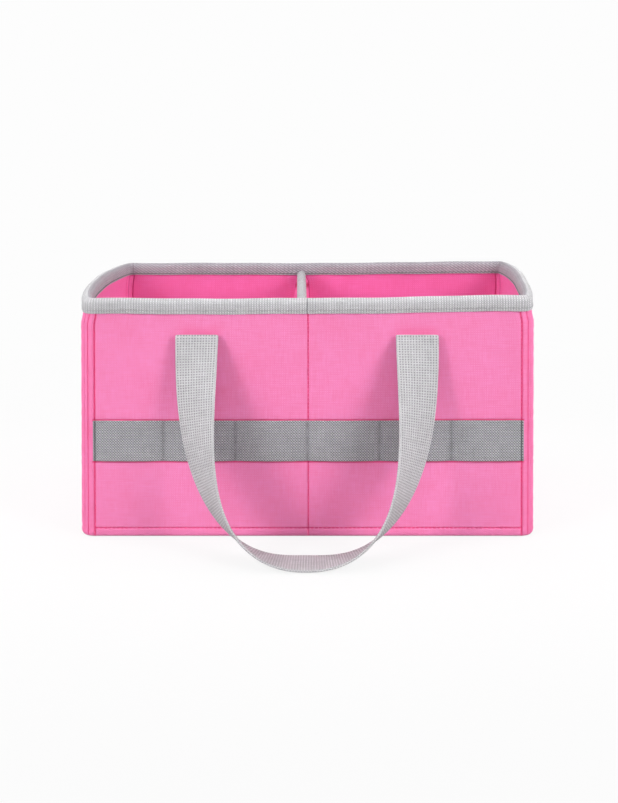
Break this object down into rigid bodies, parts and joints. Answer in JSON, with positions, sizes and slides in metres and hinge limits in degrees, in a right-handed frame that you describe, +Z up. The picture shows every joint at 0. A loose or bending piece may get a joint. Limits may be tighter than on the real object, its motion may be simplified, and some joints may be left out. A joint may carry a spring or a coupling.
{
  "type": "diaper caddy",
  "caption": "Open fabric caddy with stiffened walls, a tape-bound rim, a sewn divider, elastic loops across the front and twisted webbing carry handles.",
  "frame": {"origin": "on the floor under the middle of the box", "axes": "+Z up, the front with the elastic faces -Y, +X to the right seen from the front"},
  "size_m": [0.3588, 0.3556, 0.1826],
  "materials": {
    "outer_cloth": "matte woven",
    "lining_cloth": "matte woven",
    "board": "matte",
    "tape": "ribbed tape",
    "elastic": "woven elastic",
    "webbing": "coarse woven"
  },
  "bodies": {
    "caddy": {"outer_front_panel": "outer_cloth", "lining_front": "lining_cloth", "outer_right_panel": "outer_cloth", "lining_right": "lining_cloth", "outer_back_panel": "outer_cloth", "lining_back": "lining_cloth", "outer_left_panel": "outer_cloth", "lining_left": "lining_cloth", "outer_base_panel": "outer_cloth", "lining_base": "lining_cloth", "front_left_board": "board", "front_right_board": "board", "back_left_board": "board", "back_right_board": "board", "left_side_board": "board", "right_side_board": "board", "divider_board": "board", "divider_left_cover": "lining_cloth", "divider_right_cover": "lining_cloth", "rim_binding": "tape", "divider_binding": "tape", "elastic_band": "elastic", "front_handle_left_tab": "webbing", "front_handle_right_tab": "webbing", "back_handle_left_tab": "webbing", "back_handle_right_tab": "webbing"},
    "front_handle": {"front_handle_loop": "webbing"},
    "back_handle": {"back_handle_loop": "webbing"},
    "left_base_pad": {"left_base_board": "board", "left_base_cover": "lining_cloth"},
    "right_base_pad": {"right_base_board": "board", "right_base_cover": "lining_cloth"}
  },
  "joints": [
    {"name": "front_handle_swing", "type": "hinge", "parent": "caddy", "child": "front_handle", "pos_m": [0, -0.1026, 0.1533], "axis": [-1, 0, 0], "range_deg": [0, 148]},
    {"name": "back_handle_swing", "type": "hinge", "parent": "caddy", "child": "back_handle", "pos_m": [0, 0.1026, 0.1533], "axis": [1, 0, 0], "range_deg": [0, 148]},
    {"name": "left_base_pad_lift", "type": "slide", "parent": "caddy", "child": "left_base_pad", "axis": [0, 0, 1], "range_m": [0, 0.2]},
    {"name": "right_base_pad_lift", "type": "slide", "parent": "caddy", "child": "right_base_pad", "axis": [0, 0, 1], "range_m": [0, 0.2]}
  ]
}
